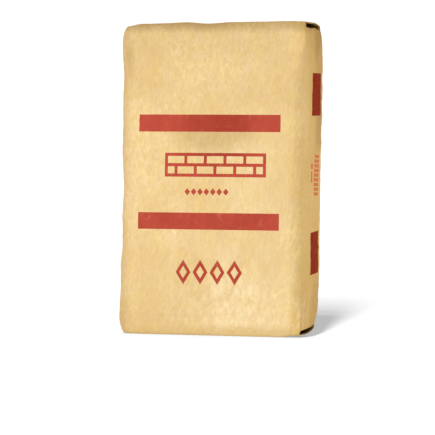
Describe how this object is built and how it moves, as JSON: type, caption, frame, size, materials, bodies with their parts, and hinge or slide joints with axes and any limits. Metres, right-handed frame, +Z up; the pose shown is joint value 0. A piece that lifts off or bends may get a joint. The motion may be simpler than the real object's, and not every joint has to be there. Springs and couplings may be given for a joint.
{
  "type": "cement bag",
  "caption": "Filled kraft paper valve sack of cement, standing on its pasted block bottom, with red bars printed across its front and on its narrow side.",
  "frame": {"origin": "middle of the resting face under the lower end, on the floor", "axes": "+Z up along the sack's height, X along its width with the filling valve at the top of the +X side, and the printed front facing -Y"},
  "size_m": [0.396, 0.164, 0.64],
  "materials": {
    "kraft_paper": "matte, finely crinkled kraft with red print",
    "patch_paper": "matte kraft, glued on",
    "sleeve_paper": "matte brown kraft",
    "cement_powder": "dull grey powder"
  },
  "bodies": {
    "root": {"paper_sack": "kraft_paper", "cement_fill": "cement_powder", "top_cover_patch": "patch_paper", "bottom_cover_patch": "patch_paper", "valve_sleeve": "sleeve_paper"}
  },
  "joints": []
}
